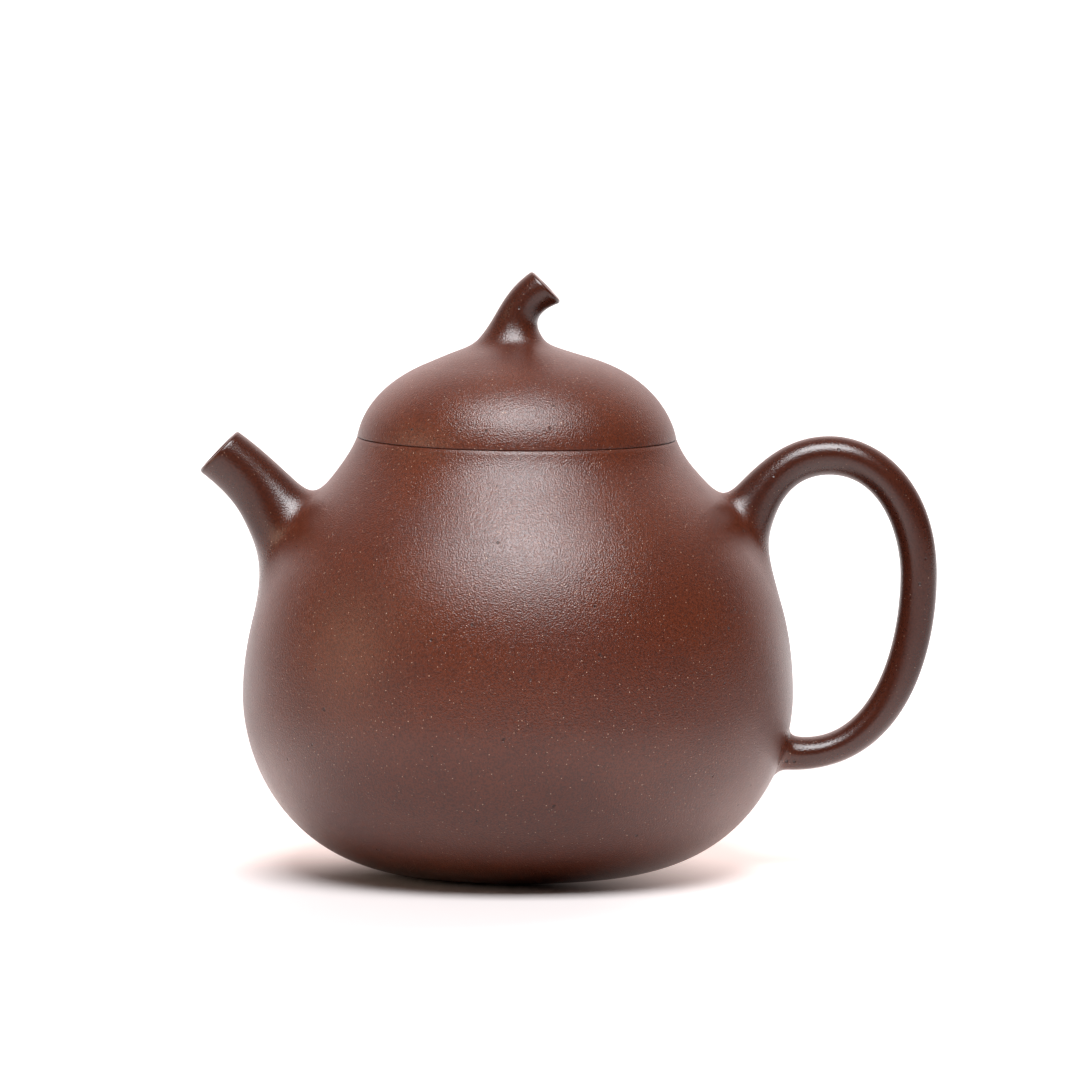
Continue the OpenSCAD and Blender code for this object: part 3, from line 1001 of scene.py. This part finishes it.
def colour_group():
    """The clay's colour from its masks, with painted shade on the smoothed small parts and round
    their roots.
    """
    group = new_group("clay_colour", [
        ("NodeSocketFloat", "Sand", 0.0),
        ("NodeSocketFloat", "Pit", 0.0),
        ("NodeSocketFloat", "Mottle", 0.5),
        ("NodeSocketFloat", "Fine", 0.5),
        ("NodeSocketColor", "Clay", None),
        ("NodeSocketColor", "Red clay", None),
        ("NodeSocketColor", "Grain", None),
        ("NodeSocketColor", "Dark and shade", None),
        ("NodeSocketFloat", "Sand tint", 0.68),
        ("NodeSocketFloat", "Rub and shade", 0.0),
    ], [("NodeSocketColor", "Colour")])
    n = Nodes(group)
    given = n.add("NodeGroupInput").outputs
    body = n.mix(given["Mottle"], given["Clay"], given["Red clay"])
    darker = n.mix(fine_dark, body, given["Dark and shade"])
    grained = n.mix(n.spread(given["Fine"], *fine_range, *fine_shown), body, darker)
    tinted = n.mix(n.maths("MULTIPLY", given["Sand"], given["Sand tint"]), grained, given["Grain"])
    pitted = n.mix(n.maths("MULTIPLY", given["Pit"], pit_dark), tinted, given["Dark and shade"])
    # Painted shade: the smoothed small parts and the clay round their roots are darkened towards
    # the dark colour
    rub_and_shade = n.mix(n.maths("MULTIPLY", given["Rub and shade"], painted_shade_dark), pitted, given["Dark and shade"])
    out = n.add("NodeGroupOutput")
    n.feed(rub_and_shade, out.inputs["Colour"])
    return group


# Heights of the skin's relief, next to the orange-peel grain, which is 1
wave_scale = 60.0
wave_height = 0.6
sand_height = 0.15
pit_depth = 1.6
# What is left of roughness and relief where the clay was smoothed with a wet finger
rubbed_rough = 0.78
rubbed_relief = 0.45


def surface_group():
    """Height and roughness of the clay's skin: fine orange-peel grain, sand, pits, slow waves."""
    group = new_group("clay_skin", [
        ("NodeSocketVector", "Place", None),
        ("NodeSocketFloat", "Sand", 0.0),
        ("NodeSocketFloat", "Pit", 0.0),
        ("NodeSocketFloat", "Mottle", 0.5),
        ("NodeSocketFloat", "Peel scale", 3600.0),
        ("NodeSocketFloat", "Smooth", 0.36),
        ("NodeSocketFloat", "Dull", 0.46),
        ("NodeSocketFloat", "Rub and shade", 0.0),
    ], [
        ("NodeSocketFloat", "Height"),
        ("NodeSocketFloat", "Roughness"),
    ])
    n = Nodes(group)
    given = n.add("NodeGroupInput").outputs
    peel = n.noise(given["Place"], given["Peel scale"], 1.5, 0.5)
    waves = n.noise(given["Place"], wave_scale, 1.0, 0.4)
    level = n.maths("ADD", peel, n.maths("MULTIPLY", waves, wave_height))
    raised = n.maths("ADD", level, n.maths("MULTIPLY", given["Sand"], sand_height))
    height = n.maths("SUBTRACT", raised, n.maths("MULTIPLY", given["Pit"], pit_depth))
    rough = n.spread(given["Mottle"], 0.0, 1.0, given["Smooth"], given["Dull"], smooth=False)
    worn = n.spread(given["Rub and shade"], 0.0, 1.0, 1.0, rubbed_rough, smooth=False)
    calm = n.spread(given["Rub and shade"], 0.0, 1.0, 1.0, rubbed_relief, smooth=False)
    out = n.add("NodeGroupOutput")
    n.feed(n.maths("MULTIPLY", height, calm), out.inputs["Height"])
    n.feed(n.maths("MULTIPLY", rough, worn), out.inputs["Roughness"])
    return group


def linear(red, green, blue):
    """A linear colour from 0-255 screen values."""
    values = []
    for value in (red, green, blue):
        s = value / 255
        values.append(s / 12.92 if s <= 0.04045 else ((s + 0.055) / 1.055) ** 2.4)
    return (*values, 1.0)


def new_material(name):
    """A material without nodes, and the means to add them."""
    material = bpy.data.materials.new(name)
    material.use_nodes = True
    material.node_tree.nodes.clear()
    return material, Nodes(material.node_tree)


grain_colour = linear(200, 164, 140)
# The dark colour of fine grain and pits, which is also the painted shade of the smoothed small
# parts
dark_and_shade_colour = linear(38, 16, 11)
# Height of the skin's relief, in metres
relief_height = 0.00011
clay_ior = 1.5


def clay_material(name, groups, clay, red_clay, smooth, dull, bump, sheen):
    """One finish of the clay.

    clay and red_clay are the colours of its mottle, smooth and dull its roughness, bump how
    strong its relief is and sheen how much it mirrors."""
    grains, colour, surface = groups
    material, n = new_material(name)
    place = n.add("ShaderNodeTexCoord").outputs["Object"]
    masks = n.add("ShaderNodeGroup", node_tree=grains)
    n.feed(place, masks.inputs["Place"])
    paint = n.add("ShaderNodeGroup", node_tree=colour)
    skin = n.add("ShaderNodeGroup", node_tree=surface)
    n.feed(place, skin.inputs["Place"])
    for key in ("Sand", "Pit", "Mottle"):
        n.feed(masks.outputs[key], paint.inputs[key])
        n.feed(masks.outputs[key], skin.inputs[key])
    n.feed(masks.outputs["Fine"], paint.inputs["Fine"])
    # This mark both smooths the clay and paints it darker as shade
    rub_and_shade = n.add("ShaderNodeAttribute", attribute_name=rub_and_shade_mark).outputs["Fac"]
    n.feed(rub_and_shade, paint.inputs["Rub and shade"])
    n.feed(rub_and_shade, skin.inputs["Rub and shade"])
    paint.inputs["Clay"].default_value = clay
    paint.inputs["Red clay"].default_value = red_clay
    paint.inputs["Grain"].default_value = grain_colour
    paint.inputs["Dark and shade"].default_value = dark_and_shade_colour
    skin.inputs["Smooth"].default_value = smooth
    skin.inputs["Dull"].default_value = dull
    relief = n.add("ShaderNodeBump", {"Strength": bump, "Distance": relief_height})
    n.feed(skin.outputs["Height"], relief.inputs["Height"])
    shader = n.add("ShaderNodeBsdfPrincipled")
    n.feed(paint.outputs["Colour"], shader.inputs["Base Color"])
    n.feed(skin.outputs["Roughness"], shader.inputs["Roughness"])
    n.feed(relief.outputs["Normal"], shader.inputs["Normal"])
    shader.inputs["IOR"].default_value = clay_ior
    shader.inputs["Specular IOR Level"].default_value = sheen
    out = n.add("ShaderNodeOutputMaterial")
    n.feed(shader.outputs["BSDF"], out.inputs["Surface"])
    return material


floor_colour = (0.62, 0.58, 0.57, 1)
floor_roughness = 0.6
# The floor's glow: warm in a ring round the pot and white further off. All in metres.
glow_warm = (1, 0.82, 0.77, 1)
glow_white = (1, 1, 1, 1)
ring_centre = (-0.02, -0.045, 0)
ring_start = (0.03, 0.085)
ring_glow = (0.0, 0.8)
ring_end = (0.2, 0.1)
glow_behind = (0.03, 0.4)
glow_far = (0.45, 1.1)


def floor_material():
    """A pale warm table top that glows: painted light, warm in a ring a little way from the pot,
    where it lifts the pot's shadow, and white behind and far off.
    """
    material, n = new_material("pale_floor")
    place = n.add("ShaderNodeTexCoord").outputs["Object"]
    parts = n.add("ShaderNodeSeparateXYZ", {"Vector": place})
    near = n.add("ShaderNodeVectorMath", {0: place}, operation="LENGTH").outputs["Value"]
    rear = n.spread(parts.outputs["Y"], *glow_behind)
    far = n.spread(near, *glow_far)
    behind = n.maths("MAXIMUM", rear, far)
    to_ring = n.add("ShaderNodeVectorMath", {0: place, 1: ring_centre}, operation="DISTANCE")
    away = to_ring.outputs["Value"]
    ring_in = n.spread(away, *ring_start, *ring_glow)
    ring_out = n.spread(away, *ring_end)
    around = n.maths("MULTIPLY", ring_in, ring_out)
    shader = n.add("ShaderNodeBsdfPrincipled")
    shader.inputs["Base Color"].default_value = floor_colour
    shader.inputs["Roughness"].default_value = floor_roughness
    # Painted light: the floor glows, warm in a ring round the pot and white further off
    n.feed(n.maths("ADD", behind, around), shader.inputs["Emission Strength"])
    n.feed(n.mix(behind, glow_warm, glow_white), shader.inputs["Emission Color"])
    out = n.add("ShaderNodeOutputMaterial")
    n.feed(shader.outputs["BSDF"], out.inputs["Surface"])
    return material


# ---- Floor, light and camera ---------------------------------------------------------

floor_half = 4.0


def build_floor():
    mesh = bpy.data.meshes.new("floor")
    corners = [
        (-floor_half, -floor_half, 0),
        (floor_half, -floor_half, 0),
        (floor_half, floor_half, 0),
        (-floor_half, floor_half, 0)]
    mesh.from_pydata(corners, [], [(0, 1, 2, 3)])
    mesh.materials.append(floor_material())
    ground = bpy.data.objects.new("floor", mesh)
    bpy.context.scene.collection.objects.link(ground)


# What both soft lights are aimed at
light_aim = (0, 0, 0.05)


def softbox(name, place, width, height, brightness, colour):
    """A rectangular soft light whose face has the given brightness."""
    light = bpy.data.lights.new(name, "AREA")
    light.shape = "RECTANGLE"
    light.size = width
    light.size_y = height
    light.energy = brightness * math.pi * width * height
    light.color = colour
    lamp = bpy.data.objects.new(name, light)
    way = np.array(light_aim, float) - np.array(place, float)
    tilt = math.acos(-way[2] / np.linalg.norm(way))
    turn = math.atan2(way[0], -way[1])
    lamp.location = place
    lamp.rotation_euler = (tilt, 0, math.pi + turn)
    bpy.context.scene.collection.objects.link(lamp)


# The room: bright behind the pot, a little light from high up at the back, and light from below
room_colour = (1, 0.82, 0.8, 1)
rear_span = (0.48, 0.85)
rear_light = (0.02, 1.3)
high_span = (0.1, 0.6)
high_light = (0.0, 0.45)
high_rear = (-0.1, 0.5)
under_span = (0.0, -0.02)
under_light = (0.0, 1.2)


def build_world():
    world = bpy.data.worlds.new("pale_room")
    world.use_nodes = True
    world.node_tree.nodes.clear()
    n = Nodes(world.node_tree)
    way = n.add("ShaderNodeTexCoord").outputs["Generated"]
    parts = n.add("ShaderNodeSeparateXYZ", {"Vector": way})
    rear = n.spread(parts.outputs["Y"], *rear_span, *rear_light)
    above = n.spread(parts.outputs["Z"], *high_span, *high_light)
    high = n.maths("MULTIPLY", above, n.spread(parts.outputs["Y"], *high_rear))
    under = n.spread(parts.outputs["Z"], *under_span, *under_light)
    bright = n.maths("MAXIMUM", n.maths("ADD", rear, high), under)
    back = n.add("ShaderNodeBackground", {"Color": room_colour})
    n.feed(bright, back.inputs["Strength"])
    out = n.add("ShaderNodeOutputWorld")
    n.feed(back.outputs["Background"], out.inputs["Surface"])
    bpy.context.scene.world = world


camera_place = (0.0041, -1.5, 0.20467)
# How far the camera looks down, in degrees
camera_dip = 5.471
camera_lens = 271.5
camera_sensor = 36


def build_camera():
    view = bpy.data.cameras.new("camera")
    view.sensor_width = camera_sensor
    view.lens = camera_lens
    view.clip_start = 0.05
    view.clip_end = 50
    holder = bpy.data.objects.new("camera", view)
    holder.location = camera_place
    holder.rotation_euler = (math.radians(90 - camera_dip), 0, 0)
    bpy.context.scene.collection.objects.link(holder)
    bpy.context.scene.camera = holder


def main():
    groups = (grains_group(), colour_group(), surface_group())
    outer = clay_material(
        "burnished_clay", groups, clay=linear(88, 40, 22), red_clay=linear(79, 33, 17),
        smooth=0.28, dull=0.34, bump=1.0, sheen=0.5)
    raw = clay_material(
        "raw_clay", groups, clay=linear(104, 62, 47), red_clay=linear(98, 55, 41),
        smooth=0.6, dull=0.7, bump=0.7, sheen=0.3)
    loft = spout_loft()
    build_body(loft, outer, raw)
    build_lid(outer, raw)
    build_spout(loft, outer, raw)
    build_handle(outer)
    build_stem(outer, raw)
    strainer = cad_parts["strainer"]
    strainer.data.materials.clear()
    strainer.data.materials.append(raw)
    build_floor()
    softbox(
        "overhead_box", place=(0.015, -0.49, 1.10), width=0.88, height=0.6,
        brightness=17.5, colour=(0.95, 0.97, 1.0))
    softbox(
        "left_box", place=(-1.1, -0.28, 0.36), width=0.55, height=0.5,
        brightness=3.2, colour=(1.0, 0.78, 0.6))
    build_world()
    build_camera()
    bpy.context.scene.view_settings.view_transform = "Standard"


main()
